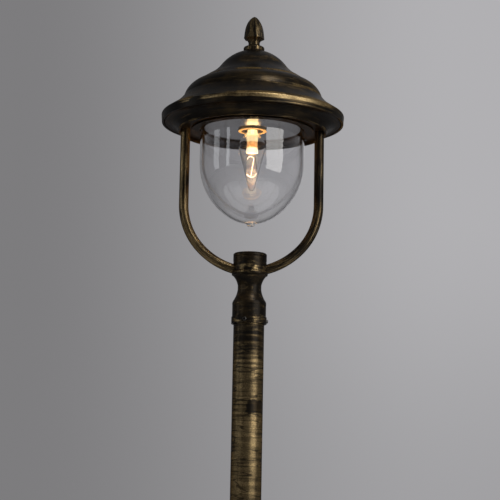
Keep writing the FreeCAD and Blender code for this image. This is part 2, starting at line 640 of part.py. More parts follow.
def make_hub():
    hole = "nipple_radius + thread_gap"
    body = turned("hub", [
        (hole, "collar_top"), ("neck_radius", "collar_top"), ("neck_radius", "collar_top + hub_neck_height"),
        ("hub_radius", "hub_ring_low - hub_cap_line", "hub_taper_bend", "right"),
        ("hub_ring_radius", "hub_ring_low"),
        ("hub_ring_radius", "hub_ring_high - hub_cap_line", "hub_ring_height", "left"),
        ("hub_radius", "hub_ring_high"), ("hub_radius", "hub_top", "hub_band_bend", "left"),
        ("hub_cavity", "hub_top"), ("hub_cavity", "collar_top + hub_floor"),
        (hole, "collar_top + hub_floor")])
    for name, radius, along, length in (
            ("arm_socket", "arm_radius + thread_gap", "arm_seat", "hub_radius"),
            ("arm_hole", "arm_thread_radius + thread_gap", "arm_seat + arm_tail", "hub_radius")):
        sketch = arm_plane(body, name + "_outline", along)
        draw_circle(sketch, radius)
        cut = pad(body, name, sketch, length, kind="Pocket", Reversed=True)
        ring_of(body, name + "s", "2", cut)
    return body


def make_hub_cap():
    plug = "hub_cavity - slip_gap"
    line = "hub_top + hub_cap_line_height"
    groove = "hub_cap_radius - hub_cap_line"
    return turned("hub_cap", [
        ("0", "hub_top - hub_cap_plug"), (plug, "hub_top - hub_cap_plug"), (plug, "hub_top"),
        ("hub_cap_radius", "hub_top"), ("hub_cap_radius", line), (groove, f"{line} + hub_cap_line / 2"),
        ("hub_cap_radius", f"{line} + hub_cap_line"),
        ("hub_cap_radius", "hub_top + hub_cap_height - hub_cap_edge"),
        ("hub_cap_radius - hub_cap_edge", "hub_top + hub_cap_height"), ("0", "hub_top + hub_cap_height")])


def make_hub_nuts():
    """Nuts on the arms' lower ends, against the wall of the hub's cable space."""
    body = new_body("hub_nuts")
    corner = "arm_nut_flats / sqrt(3)"
    face_out = f"(sqrt(hub_cavity ^ 2 - ({corner}) ^ 2) - slip_gap)"
    along = f"(arm_entry_out - {face_out}) / cos(arm_slope) + arm_nut_height"
    sketch = arm_plane(body, "hub_nut_outline", along)
    draw_chain(sketch, regular(corner, 6), closed=True)
    draw_circle(sketch, "arm_thread_radius + thread_gap")
    nut = pad(body, "hub_nut", sketch, "arm_nut_height")
    ring_of(body, "hub_nut_pair", "2", nut)
    return body


def arm_path(body, name, head, tail):
    """Line of an arm from its upper end, through both bends, to its sloping lower end."""
    sketch = new_sketch(body, name, "XZ_Plane")
    draw_chain(sketch, [
        ("arm_spread", f"carrier_level + {head}"), ("arm_spread", "arm_bend_level"),
        ("arm_mid_out", "arm_mid_level", "arm_bend_upper", "right"),
        ("arm_entry_out", "arm_entry_level", "arm_bend_lower", "right"),
        (f"arm_entry_out - ({tail}) * cos(arm_slope)", f"arm_entry_level - ({tail}) * sin(arm_slope)")],
        closed=False)
    return sketch


def sweep(body, name, path, radius, start, kind="AdditivePipe"):
    """Round section, standing upright at a path's start, swept along the path."""
    section = new_sketch(body, name + "_section", "XY_Plane", start)
    draw_circle(section, radius)
    doc.recompute()
    edges = [f"Edge{number}" for number in range(1, len(path.Shape.Edges) + 1)]
    return add_feature(body, kind, name, Profile=section, Spine=(path, edges))


def make_arm(label, half_turn):
    body = new_body(label)
    plain = arm_path(body, label + "_line", "0", "arm_seat")
    whole = arm_path(body, label + "_threaded_line", "arm_head", "arm_seat + arm_tail")
    foot, top = ("arm_spread", "0", "carrier_level"), ("arm_spread", "0", "carrier_level + arm_head")
    sweep(body, label + "_rod", plain, "arm_radius", foot)
    sweep(body, label + "_threads", whole, "arm_thread_radius", top)
    sweep(body, label + "_bore", whole, "arm_bore", top, kind="SubtractivePipe")
    body.Placement = FreeCAD.Placement(FreeCAD.Vector(), FreeCAD.Rotation(FreeCAD.Vector(0, 0, 1), half_turn))
    return body


def make_arm_nuts():
    body = new_body("arm_nuts")
    sketch = new_sketch(body, "arm_nut_outline", "XY_Plane", ("arm_spread", "0", "carrier_top"))
    draw_chain(sketch, regular("arm_nut_flats / sqrt(3)", 6, "30"), closed=True)
    draw_circle(sketch, "arm_thread_radius + thread_gap")
    nut = pad(body, "arm_nut", sketch, "arm_nut_height")
    ring_of(body, "arm_nut_pair", "2", nut)
    return body


# Carrier ring and roof

def make_carrier_ring():
    lip = "carrier_lip_radius - carrier_lip_wall"
    lip_low = "carrier_level - carrier_lip_drop"
    edge_in = "carrier_edge_radius - carrier_ledge"
    wall_out = "bowl_recess + carrier_collar_wall"
    recess_top = "carrier_level + bowl_recess_depth"
    body = turned("carrier_ring", [
        ("bowl_recess", "carrier_level"), (lip, "carrier_level"), (lip, lip_low),
        ("carrier_lip_radius", lip_low),
        ("carrier_edge_radius", "carrier_level + carrier_edge_low", "carrier_cove", "right"),
        ("carrier_edge_radius", "roof_seat_level"), (edge_in, "roof_seat_level"),
        (edge_in, "carrier_level + carrier_edge_low + carrier_wall"),
        ("carrier_lip_radius", "carrier_top", "carrier_cove + carrier_wall", "left"),
        (wall_out, "carrier_top"), (wall_out, "mouth_level"), ("carrier_mouth", "mouth_level"),
        ("carrier_mouth", recess_top), ("bowl_recess", recess_top)])
    posts = new_sketch(body, "post_outline", "XY_Plane", ("0", "0", "carrier_level"))
    draw_circle(posts, "post_radius", "0", "post_circle")
    post = pad(body, "post", posts, "post_height")
    ring_of(body, "posts", "2", post)
    bosses = new_sketch(body, "boss_outline", "XY_Plane", ("0", "0", "carrier_level"))
    at_screw = ("bowl_screw_circle * cos(bowl_screw_turn)", "bowl_screw_circle * sin(bowl_screw_turn)")
    draw_circle(bosses, "bowl_boss_radius", *at_screw)
    boss = pad(body, "boss", bosses, "mouth_level - carrier_level")
    ring_of(body, "bosses", "bowl_screw_count", boss)
    hole = "screw_radius + thread_gap"
    cuts = (
        ("bowl_screw_hole", "carrier_level", hole, at_screw, "screw_grip", "bowl_screw_count"),
        ("strap_screw_hole", "strap_foot_low - screw_grip", hole, ("0", "post_circle"), "screw_grip", "2"),
        ("arm_top_hole", "carrier_level", "arm_thread_radius + thread_gap", ("arm_spread", "0"),
         "carrier_plate", "2"))
    for name, low, radius, place, length, count in cuts:
        sketch = new_sketch(body, name + "_outline", "XY_Plane", ("0", "0", low))
        draw_circle(sketch, radius, *place)
        cut = pad(body, name, sketch, length, kind="Pocket", Reversed=True)
        ring_of(body, name + "s", count, cut)
    return body


def make_canopy():
    """Thin-walled roof: small dome, hollow sweep, large dome, hollow brim and upright rim."""
    body = turned("canopy", even_wall([
        ("canopy_rim_radius - canopy_rim_draft", "rim_low", None, None, "0"),
        ("canopy_rim_radius", "rim_high", None, None, "28"),
        ("brim_radius", "brim_level", None, None, "58"),
        ("dome_foot_radius", "dome_foot_level", "dome_cove", "right", "25"),
        ("dome_shoulder_radius", "shoulder_level", "dome_bend", "left", "62"),
        ("valley_radius", "valley_level", None, None, "59"),
        ("crown_radius", "crown_level", "crown_cove", "right", "37"),
        ("seat_radius", "seat_level", "crown_bend", "left", "82"),
        ("tube_radius + slip_gap", "seat_level", None, None, "90")], "canopy_wall"))
    round_edge(body, "rim_round", "canopy_rim_round", "canopy_rim_radius")
    ledge_in = "carrier_edge_radius - canopy_ledge_width"
    ledge_out = "canopy_rim_radius - canopy_wall * 0.85"
    revolve(body, "canopy_ledge", [
        (ledge_in, "roof_seat_level"), (ledge_out, "roof_seat_level"),
        (ledge_out, "rim_high - canopy_wall / 4"), (ledge_in, "brim_level - canopy_wall")])
    return body


def make_finial():
    """Acorn finial: turned flange, neck and cup, and a bud of curved facets with a blind threaded hole."""
    hole = "tube_radius + thread_gap"
    flange_in = "finial_flange_radius - finial_flange_round"
    flange_top = "finial_base + finial_flange_edge + finial_flange_round"
    hole_top = "finial_base + tube_engagement + slip_gap"
    body = turned("finial", [
        (hole, "finial_base"), ("finial_flange_radius", "finial_base"),
        ("finial_flange_radius", "finial_base + finial_flange_edge"),
        (flange_in, flange_top, "finial_flange_round", "left"),
        ("finial_neck_radius", "finial_base + finial_neck_low", "finial_neck_low", "right"),
        ("finial_neck_radius", "finial_base + finial_neck_high"),
        ("finial_cup_radius", "finial_base + finial_bud_low", "finial_neck_low", "right"),
        ("0", "finial_base + finial_bud_low"), ("0", hole_top), (hole, hole_top)])
    bud_height = "(finial_height - finial_bud_low)"
    facets = int(value("finial_facets"))
    sections = []
    for step, (share, girth) in enumerate(((0, 1), (0.38, 0.9), (0.72, 0.66), (0.94, 0.29))):
        level = f"finial_base + finial_bud_low + {bud_height} * {share}"
        sketch = new_sketch(body, f"bud_section_{step}", "XY_Plane", ("0", "0", level))
        draw_chain(sketch, regular(f"finial_bud_radius * {girth}", facets, "finial_turn"), closed=True)
        sections.append(sketch)
    tip = new_sketch(body, "bud_tip", "XY_Plane", ("0", "0", "finial_base + finial_height"))
    draw_chain(tip, regular("finial_tip_radius", facets, "finial_turn"), closed=True)
    add_feature(body, "AdditiveLoft", "bud", Profile=sections[0], Sections=sections[1:] + [tip], Ruled=False)
    return body


def make_threaded_tube():
    return flat_ring("threaded_tube", "tube_bore", "tube_radius", "holder_top - tube_grip",
                     "finial_base + tube_engagement")


def make_tube_nuts():
    body = new_body("tube_nuts")
    for name, low in (("lower_nut", "holder_top"), ("upper_nut", "strap_high")):
        sketch = new_sketch(body, name + "_outline", "XY_Plane", ("0", "0", low))
        draw_chain(sketch, regular("tube_nut_flats / sqrt(3)", 6), closed=True)
        draw_circle(sketch, "tube_radius + thread_gap")
        pad(body, name, sketch, "tube_nut_height")
    return body


# Strap and terminal block

def make_strap():
    """Steel strap bent up over the lampholder, drawn from the side."""
    body = new_body("strap")
    half = "strap_wall / 2"
    side = [("strap_foot_out", "strap_foot_low"), ("strap_foot_out", "strap_foot_high"),
            (f"strap_leg_out + {half}", "strap_foot_high"), (f"strap_top_half + {half}", "strap_high")]
    under = [(f"strap_top_half - {half}", "strap_low"), (f"strap_leg_out - {half}", "strap_foot_low")]
    mirrored = [(f"-({across})", up) for across, up in reversed(side)]
    mirrored_under = [(f"-({across})", up) for across, up in reversed(under)]
    sketch = new_sketch(body, "strap_side", "YZ_Plane")
    draw_chain(sketch, side + mirrored + mirrored_under + under, closed=True)
    pad(body, "strap_sheet", sketch, "strap_width", Midplane=True)
    holes = (("strap_centre", "strap_low", "tube_radius + slip_gap", "0"),
             ("strap_foot_hole", "strap_foot_low", "screw_radius + slip_gap", "post_circle"),
             ("strap_far_hole", "strap_foot_low", "screw_radius + slip_gap", "-post_circle"),
             ("strap_block_hole", "strap_low", "screw_radius + thread_gap", "block_offset"))
    for name, low, radius, along in holes:
        cut = new_sketch(body, name + "_outline", "XY_Plane", ("0", "0", low))
        draw_circle(cut, radius, "0", along)
        pad(body, name, cut, "strap_wall", kind="Pocket", Reversed=True)
    return body


def make_terminal_block():
    """Two-pole block on the strap: wire holes across, clamp screw holes from above, one fixing hole."""
    body = new_body("terminal_block")
    half, back, front = "block_length / 2", "block_offset - block_depth / 2", "block_offset + block_depth / 2"
    sketch = new_sketch(body, "block_outline", "XY_Plane", ("0", "0", "strap_high"))
    draw_chain(sketch, [(half, back), (half, front), (f"-{half}", front), (f"-{half}", back)], closed=True)
    pad(body, "block", sketch, "block_height")
    for name, side in (("left", "-"), ("right", "")):
        across = f"{side}block_pitch * 0.7"
        wire = new_sketch(body, f"wire_hole_{name}_outline", "XZ_Plane", ("0", "0", f"-({front})"))
        draw_circle(wire, "block_wire_radius", across, "strap_high + block_height / 2")
        pad(body, f"wire_hole_{name}", wire, "block_depth", kind="Pocket", Reversed=True)
        key = new_sketch(body, f"key_hole_{name}_outline", "XY_Plane",
                         ("0", "0", "strap_high + block_height - block_key_depth"))
        draw_circle(key, "block_key_radius", across, "block_offset")
        pad(body, f"key_hole_{name}", key, "block_key_depth", kind="Pocket", Reversed=True)
    fixing = new_sketch(body, "fixing_outline", "XY_Plane", ("0", "0", "strap_high"))
    draw_circle(fixing, "screw_radius + slip_gap", "0", "block_offset")
    pad(body, "fixing_hole", fixing, "block_height", kind="Pocket", Reversed=True)
    return body


# Reflector and lampholder

def make_reflector():
    """Spun pan: floor in the bowl's mouth, side wall, and flange on the carrier's shoulder."""
    inside = "reflector_radius - reflector_wall"
    flange_top = "mouth_level + reflector_wall"
    hole = "skirt_thread_radius + slip_gap"
    return turned("reflector", [
        (hole, "reflector_low"), ("reflector_radius", "reflector_low"), ("reflector_radius", "mouth_level"),
        ("reflector_flange", "mouth_level"), ("reflector_flange", flange_top), (inside, flange_top),
        (inside, "reflector_high"), (hole, "reflector_high")])


def make_shade_ring():
    low = "reflector_low - shade_ring_height"
    bore = "skirt_thread_radius + thread_gap"
    return turned("shade_ring", [
        (bore, low), ("shade_ring_radius - shade_ring_round", low),
        ("shade_ring_radius", f"{low} + shade_ring_round", "shade_ring_round", "left"),
        ("shade_ring_radius", "reflector_low"), (bore, "reflector_low")])


def make_lampholder_skirt():
    low = "reflector_high - skirt_reach - reflector_wall"
    return turned("lampholder_skirt", [
        ("skirt_bore", low), ("skirt_thread_radius", low), ("skirt_thread_radius", "reflector_high"),
        ("skirt_radius", "reflector_high"), ("skirt_radius", "holder_split"), ("skirt_bore", "holder_split")])


def make_lampholder_cap():
    inside = "skirt_radius - holder_cap_wall"
    hole = "tube_radius + thread_gap"
    neck_low = "holder_top - holder_neck_height"
    return turned("lampholder_cap", [
        (inside, "holder_split"), ("skirt_radius", "holder_split"),
        ("skirt_radius", "holder_split + holder_cap_side"),
        ("holder_neck_radius", neck_low, "skirt_radius", "left"),
        ("holder_neck_radius", "holder_top"), (hole, "holder_top"), (hole, "holder_split + insert_height"),
        (inside, "holder_split + insert_height")])


def make_lampholder_insert():
    """Ceramic disc held between skirt and cap, with the sleeve that backs the screw shell."""
    sleeve_in = "shell_bore + shell_wall + thread_gap"
    sleeve_out = "shell_bore + shell_wall + thread_gap + insert_sleeve_wall"
    sleeve_low = "holder_split - insert_sleeve_length"
    disc = "skirt_radius - holder_cap_wall - slip_gap"
    return turned("lampholder_insert", [
        ("0", "holder_split"), (sleeve_in, "holder_split"), (sleeve_in, sleeve_low), (sleeve_out, sleeve_low),
        (sleeve_out, "holder_split"), (disc, "holder_split"), (disc, "holder_split + insert_height"),
        ("0", "holder_split + insert_height")])


def make_lampholder_thread():
    return flat_ring("lampholder_thread", "shell_bore", "shell_bore + shell_wall",
                     "holder_split - insert_sleeve_length", "holder_split")


def make_lampholder_contact():
    """Sprung strip: both ends under the ceramic disc, its middle lower for the bulb's pip."""
    body = new_body("lampholder_contact")
    top, low = "holder_split", "holder_split - contact_spring"
    half, flat, pip = "contact_half", "(contact_half - contact_wall * 3)", "(pip_radius - contact_wall)"
    right = [(half, top), (flat, top), (pip, low)]
    right_under = [(across, f"{up} - contact_wall") for across, up in reversed(right)]
    left = [(f"-{across}", up) for across, up in reversed(right)]
    left_under = [(f"-{across}", up) for across, up in reversed(right_under)]
    sketch = new_sketch(body, "contact_side", "XZ_Plane")
    draw_chain(sketch, right + left + left_under + right_under, closed=True)
    pad(body, "contact_strip", sketch, "contact_width", Midplane=True)
    return body


# Bulb

def make_bulb_glass():
    """Candle envelope, blown thin and open at the top, where the cap is cemented on."""
    tip_bend = "(bulb_tip_radius ^ 2 + bulb_tip_height ^ 2) / (2 * bulb_tip_height)"
    centre, middle = "bulb_radius - bulb_round", "bulb_tip + bulb_wide_height"
    return turned("bulb_glass", even_wall([
        ("0", "bulb_tip", None, None, "-90"),
        ("bulb_tip_radius", "bulb_tip + bulb_tip_height", tip_bend, "left", "-32"),
        (f"{centre} + bulb_round * cos(bulb_taper)", f"{middle} - bulb_round * sin(bulb_taper)",
         None, None, "-bulb_taper"),
        (f"{centre} + bulb_round * cos(bulb_shoulder)", f"{middle} + bulb_round * sin(bulb_shoulder)",
         "bulb_round", "left", "bulb_shoulder"),
        ("bulb_neck_radius", "bulb_tip + bulb_neck_height", "bulb_neck_bend", "right", "10"),
        ("bulb_neck_radius", "bulb_tip + bulb_glass_height", None, None, "0")], "bulb_wall"))


def make_bulb_cap():
    low = "bulb_tip + cap_low"
    inside = "cap_radius - cap_wall"
    top = f"{low} + cap_height"
    return turned("bulb_cap", [
        ("cap_skirt_radius - cap_wall", low), ("cap_skirt_radius", low),
        ("cap_radius", f"{low} + cap_skirt_height"), ("cap_radius", top),
        ("insulator_radius", top), ("insulator_radius", f"{top} - cap_wall"),
        (inside, f"{top} - cap_wall"), (inside, f"{low} + cap_skirt_height")])


def make_bulb_insulator():
    low = "bulb_tip + cap_low + cap_height"
    return turned("bulb_insulator", [
        ("0", low), ("cap_radius - thread_gap", low), ("insulator_radius", f"{low} + insulator_height"),
        ("0", f"{low} + insulator_height")])


def make_bulb_contact():
    low = "bulb_tip + cap_low + cap_height + insulator_height"
    return turned("bulb_contact", [
        ("0", low), ("pip_radius", low), ("pip_radius / 2", "bulb_end"), ("0", "bulb_end")])


def make_bulb_stem():
    """Glass mount: flare at the open end of the envelope, then a rod that holds the lead wires."""
    top = "bulb_tip + stem_top"
    return turned("bulb_stem", [
        ("0", top), ("0", "bulb_tip + stem_low"), ("stem_radius", "bulb_tip + stem_low"),
        ("stem_radius", f"{top} - stem_flare_height"),
        ("stem_flare_radius", top, "stem_flare_bend", "right")])


def make_bulb_filament():
    """Hook of coiled wire: arc at the top, slanting run down, arc to the right at the bottom."""
    body = new_body("bulb_filament")
    high, low = "bulb_tip + filament_high", "bulb_tip + filament_low"
    left = "filament_run - 2 * filament_arc"
    path = new_sketch(body, "filament_line", "XZ_Plane")
    draw_chain(path, [
        (left, high), ("filament_run - filament_arc", f"{high} + filament_arc", "filament_arc", "right"),
        ("filament_run", high, "filament_arc", "right"), ("-filament_foot", f"{low} + filament_turn"),
        ("filament_turn - filament_foot", low, "filament_turn", "left"),
        ("filament_end_out", f"{low} + filament_end_rise", "filament_hook", "left")], closed=False)
    sweep(body, "filament_coil", path, "filament_radius", (left, "0", high))
    return body


def make_bulb_leads():
    """Two lead wires from the stem to the filament's ends."""
    body = new_body("bulb_leads")
    high = "bulb_tip + filament_high - lead_radius"
    low = "bulb_tip + filament_low + filament_end_rise"
    stem_low = "bulb_tip + stem_low - lead_radius"
    left = "filament_run - 2 * filament_arc - filament_radius - lead_radius - left_lead_gap"
    right = "filament_end_out + lead_radius + filament_radius + right_lead_gap"
    wires = (("left_lead", left, high, "-1"), ("right_lead", right, low, "1"))
    for name, across, level, side in wires:
        sketch = new_sketch(body, name + "_side", "XZ_Plane")
        start = f"{side} * (stem_radius - lead_radius)"
        width = "lead_radius"
        draw_chain(sketch, [
            (f"{across} - {width}", level), (f"{across} + {width}", level), (f"{start} + {width}", stem_low),
            (f"{start} - {width}", stem_low)], closed=True)
        pad(body, name, sketch, "lead_radius * 2", Midplane=True)
    return body


# Bowl

def make_glass_bowl():
    """Blown bowl: nub at the bottom, rounded end, long bend and straight side; then its flange."""
    wall = even_wall([
        ("0", "bowl_low", None, None, "-90"),
        ("bowl_turn_radius", "bowl_turn_level", "bowl_end_bend", "left", "-bowl_turn"),
        ("bowl_radius", "carrier_level - bowl_straight", "bowl_bend", "left", "0"),
        ("bowl_radius", "carrier_level + bowl_flange_height", None, None, "0")], "bowl_wall")
    nub_low = "bowl_low - nub_height"
    nub_root = "bowl_low + bowl_end_bend - sqrt(bowl_end_bend ^ 2 - nub_radius ^ 2)"
    nub = [("0", nub_low), ("nub_end_radius", nub_low), ("nub_radius", nub_root)]
    body = turned("glass_bowl", nub + wall[1:])
    wall_mid = "bowl_radius - bowl_wall / 2"
    revolve(body, "bowl_flange", [
        (wall_mid, "carrier_level"), ("bowl_flange_radius", "carrier_level"),
        ("bowl_flange_radius", "carrier_level + bowl_flange_height"),
        (wall_mid, "carrier_level + bowl_flange_height")])
    return body


def make_bowl_ring():
    body = flat_ring("bowl_ring", "bowl_ring_bore", "bowl_ring_radius", "carrier_level - bowl_ring_height",
                     "carrier_level")
    sketch = new_sketch(body, "ring_hole_outline", "XY_Plane", ("0", "0", "carrier_level - bowl_ring_height"))
    draw_circle(sketch, "screw_radius + slip_gap", "bowl_screw_circle * cos(bowl_screw_turn)",
                "bowl_screw_circle * sin(bowl_screw_turn)")
    hole = pad(body, "ring_hole", sketch, "bowl_ring_height", kind="Pocket", Reversed=True)
    ring_of(body, "ring_holes", "bowl_screw_count", hole)
    return body


def turn_body(body, turn):
    """Set a piece round the lamp's axis."""
    body.Placement = FreeCAD.Placement(FreeCAD.Vector(), FreeCAD.Rotation(FreeCAD.Vector(0, 0, 1), 0))
    body.setExpression("Placement.Rotation.Angle", bound(turn))
    return body


def make_all():
    fill_sheet()
    ring_low = "carrier_level - bowl_ring_height"
    block_top = "strap_high + block_height"
    return [
        make_foot(),
        make_foot_socket(),
        make_set_screws("foot_screws", "foot_socket_top - foot_screw_drop", "foot_socket_radius"),
        make_pole(),
        turn_body(make_collar(), "set_screw_turn"),
        turn_body(make_set_screws("collar_screws", "collar_bottom + collar_screw_height",
                                  "collar_lip_radius"), "set_screw_turn"),
        make_nipple(),
        make_hub(),
        make_hub_cap(),
        make_hub_nuts(),
        make_arm("arm_right", 0),
        make_arm("arm_left", ROUND / 2),
        make_arm_nuts(),
        make_carrier_ring(),
        make_canopy(),
        make_finial(),
        flat_ring("finial_washer", "tube_radius + slip_gap", "washer_radius", "seat_level", "finial_base"),
        make_threaded_tube(),
        make_tube_nuts(),
        make_strap(),
        upright_screws("strap_screws", "post_circle", "90", "2", "strap_foot_high",
                       "strap_foot_high + screw_head_height", "strap_foot_low - screw_grip + slip_gap"),
        make_terminal_block(),
        upright_screws("terminal_screw", "block_offset", "90", "1", block_top,
                       f"{block_top} + screw_head_height", "strap_low"),
        make_reflector(),
        make_shade_ring(),
        make_lampholder_skirt(),
        make_lampholder_cap(),
        make_lampholder_insert(),
        make_lampholder_thread(),
        make_lampholder_contact(),
        make_bulb_glass(),
        make_bulb_cap(),
        make_bulb_insulator(),
        make_bulb_contact(),
        make_bulb_stem(),
        make_bulb_filament(),
        make_bulb_leads(),
        make_glass_bowl(),
        flat_ring("bowl_gasket", "gasket_bore", "bowl_flange_radius", "carrier_level + bowl_flange_height",
                  "carrier_level + bowl_recess_depth"),
        make_bowl_ring(),
        upright_screws("bowl_screws", "bowl_screw_circle", "bowl_screw_turn", "bowl_screw_count",
                       f"{ring_low} - screw_head_height", ring_low, f"{ring_low} + screw_grip"),
    ]


def check(bodies):
    """Stop before anything is written if a feature failed or a piece has no sound solid."""
    failed = [thing.Label for thing in doc.Objects if "Invalid" in thing.State or "Error" in thing.State]
    if failed:
        raise RuntimeError(f"failed features: {failed}")
    for body in bodies:
        if body.Shape.isNull() or not body.Shape.isValid() or not body.Shape.Solids:
            raise RuntimeError(f"{body.Label} has no sound solid")


def write(bodies):
    os.makedirs("parts", exist_ok=True)
    for body in bodies:
        body.Shape.exportStep(os.path.join("parts", body.Label + ".step"))
        print(f"{body.Label}: {len(body.Shape.Solids)} solids, {body.Shape.Volume:.0f} mm3")


pieces = make_all()
doc.recompute()
check(pieces)
write(pieces)
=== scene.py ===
import math

import bmesh
import bpy
from mathutils import Matrix, Vector


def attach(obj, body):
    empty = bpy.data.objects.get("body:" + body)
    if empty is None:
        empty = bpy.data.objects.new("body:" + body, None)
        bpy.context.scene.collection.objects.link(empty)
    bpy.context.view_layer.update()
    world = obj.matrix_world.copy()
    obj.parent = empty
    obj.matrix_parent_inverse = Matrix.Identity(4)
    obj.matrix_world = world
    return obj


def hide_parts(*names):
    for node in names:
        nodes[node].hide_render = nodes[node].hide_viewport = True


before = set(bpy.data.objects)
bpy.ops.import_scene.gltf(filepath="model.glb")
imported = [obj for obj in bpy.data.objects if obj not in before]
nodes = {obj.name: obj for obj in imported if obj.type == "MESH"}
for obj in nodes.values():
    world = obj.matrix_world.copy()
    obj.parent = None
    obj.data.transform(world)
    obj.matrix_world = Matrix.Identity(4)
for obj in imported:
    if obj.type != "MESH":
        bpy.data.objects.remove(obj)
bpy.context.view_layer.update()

# Sizes and heights are in metres, heights from the underside of the foot. Colours are linear.

# The lamp's paint is near-black, with an umber haze and gold-bronze brushed over it.
DARK = (0.0125, 0.0108, 0.0092, 1)
UMBER = (0.046, 0.032, 0.0165, 1)
BRONZE = (0.135, 0.093, 0.045, 1)
GOLD = (0.46, 0.338, 0.168, 1)
PAINT_SPECULAR = 0.30
PAINT_TINT = (0.10, 0.085, 0.065, 1)
STREAK_SWING = 1.5

# Ridges where the brush left gold, which on the roof and the hub is also a painted highlight line:
# middle height, half of the full band, the soft edge beyond it, and the share of gold that the
# ridge adds.
ROOF_RIDGES = ((1.0690, 0.0028, 0.0030, 0.66), (1.0915, 0.0010, 0.0022, 0.36),
               (1.1130, 0.0010, 0.0020, 0.66), (1.1340, 0.0016, 0.0030, 0.14))
CARRIER_RIDGES = ((1.0482, 0.0010, 0.0020, 0.30),)
FINIAL_RIDGES = ((1.1850, 0.0140, 0.0060, 0.10),)
HUB_RIDGES = ((0.8735, 0.0030, 0.0030, 0.26),)
COLLAR_RIDGES = ((0.8100, 0.0040, 0.0030, 0.06),)
FOOT_RIDGES = ((0.0055, 0.0030, 0.0030, 0.20), (0.0600, 0.0030, 0.0040, 0.20))

# The patch that the brush missed on the pole: its height, and its turn in radians from the front to
# the right. Then the heights between which the gold gets scant.
MISSED_HEIGHT, MISSED_HALF, MISSED_SOFT = 0.7030, 0.0042, 0.0060
MISSED_TURN, MISSED_TURN_HALF, MISSED_TURN_SOFT = 0.75, 0.50, 0.45
SCANT_FROM, SCANT_TO = 0.748, 0.792

# The bowl's nub is ground up to its top, and the glass is clear from a little above that.
NUB_TOP, NUB_CLEAR = 0.9316, 0.9328

# Where the painted glow of the lit bulb changes its tone: its neck, the stem's tube above the
# press, the tube's end.
NECK_FROM, NECK_TO = 1.0415, 1.0450
AMBER_FROM, AMBER_TO = 1.0268, 1.0300
CREAM_FROM, CREAM_TO = 1.0345, 1.0375

# The camera, fitted to the photograph's outlines, and the photograph's width in pixels.
CAMERA_PLACE = (-0.0003, -1.800, 0.5972)
CAMERA_TILT, CAMERA_ROLL = 9.51, 1.08
FOCAL_PIXELS, PHOTO_PIXELS = 1469, 500
SENSOR_WIDTH = 36

# The floor's side, and its drop below the foot.
FLOOR_SIDE, FLOOR_DROP = 14, 0.0004

# The softboxes face the middle of the lamp's head, and the bulb's light sits at its filament.
HEAD = (0, 0, 1.04)
FILAMENT = (0, 0, 1.005)
COOL = (0.93, 0.96, 1.0)
WARM = (1.0, 0.985, 0.96)
WHITE = (1.0, 0.99, 0.97)
AMBER = (1.0, 0.56, 0.24)


# Node helpers

class Tree:
    """A node tree, with short calls for the nodes that the finishes and the wall use."""

    def __init__(self, owner, shader):
        owner.use_nodes = True
        self.owner = owner
        self.tree = owner.node_tree
        self.shader = self.tree.nodes[shader]

    def node(self, kind, inputs=(), **settings):
        made = self.tree.nodes.new(kind)
        for key, setting in settings.items():
            setattr(made, key, setting)
        for key, value in dict(inputs).items():
            self.feed(made, key, value)
        return made

    def feed(self, made, key, value):
        """Link a socket, or set a plain value, on one of a node's inputs."""
        if isinstance(value, bpy.types.NodeSocket):
            self.tree.links.new(value, made.inputs[key])
        elif value is not None:
            made.inputs[key].default_value = value

    def set(self, **inputs):
        """Feed the shader's own inputs, with _ for each space in their names."""
        for key, value in inputs.items():
            self.feed(self.shader, key.replace("_", " "), value)

    def math(self, operation, first, second=None):
        made = self.node("ShaderNodeMath", operation=operation)
        self.feed(made, 0, first)
        self.feed(made, 1, second)
        return made.outputs[0]

    def add(self, first, second):
        return self.math("ADD", first, second)

    def minus(self, first, second):
        return self.math("SUBTRACT", first, second)

    def times(self, first, second):
        return self.math("MULTIPLY", first, second)

    def swing(self, noise, share):
        """How far a noise is from its middle, times the share."""
        return self.times(self.minus(noise, 0.5), share)

    def coordinates(self, kind):
        return self.node("ShaderNodeTexCoord").outputs[kind]

    def place(self):
        return self.coordinates("Object")

    def height(self):
        return self.split(self.place())["Z"]

    def split(self, vector):
        return self.node("ShaderNodeSeparateXYZ", {"Vector": vector}).outputs

    def join(self, x, y, z):
        return self.node("ShaderNodeCombineXYZ", {"X": x, "Y": y, "Z": z}).outputs[0]

    def scaled(self, vector, scale):
        return self.node("ShaderNodeMapping", {"Vector": vector, "Scale": scale}).outputs[0]

    def noise(self, vector, scale, detail=4, roughness=0.55, distortion=0):
        return self.node("ShaderNodeTexNoise", {
            "Vector": vector, "Scale": scale, "Detail": detail, "Roughness": roughness,
            "Distortion": distortion}).outputs["Fac"]

    def ramp(self, value, low, high, to_low=0, to_high=1):
        """Value spread smoothly from low..high to to_low..to_high, held at the ends."""
        return self.node("ShaderNodeMapRange", {
            "Value": value, "From Min": low, "From Max": high, "To Min": to_low, "To Max": to_high},
            interpolation_type="SMOOTHSTEP").outputs["Result"]

    def band(self, value, middle, half, soft):
        """1 within half of the middle, falling to 0 over the soft distance."""
        away = self.math("ABSOLUTE", self.minus(value, middle))
        return self.ramp(away, half, half + soft, 1, 0)

    def mix(self, factor, first, second):
        made = self.node("ShaderNodeMix", data_type="RGBA")
        self.feed(made, 0, factor)
        self.feed(made, 6, first)
        self.feed(made, 7, second)
        return made.outputs[2]

    def bump(self, height, strength, distance, normal=None):
        return self.node("ShaderNodeBump", {
            "Height": height, "Strength": strength, "Distance": distance,
            "Normal": normal}).outputs["Normal"]


def new_finish(name):
    return Tree(bpy.data.materials.new(name), "Principled BSDF")


def from_axis(tree):
    """Distance from the lamp's axis, then the place's own x, y and z."""
    x, y, z = tree.split(tree.place())
    return tree.math("SQRT", tree.add(tree.times(x, x), tree.times(y, y))), x, y, z


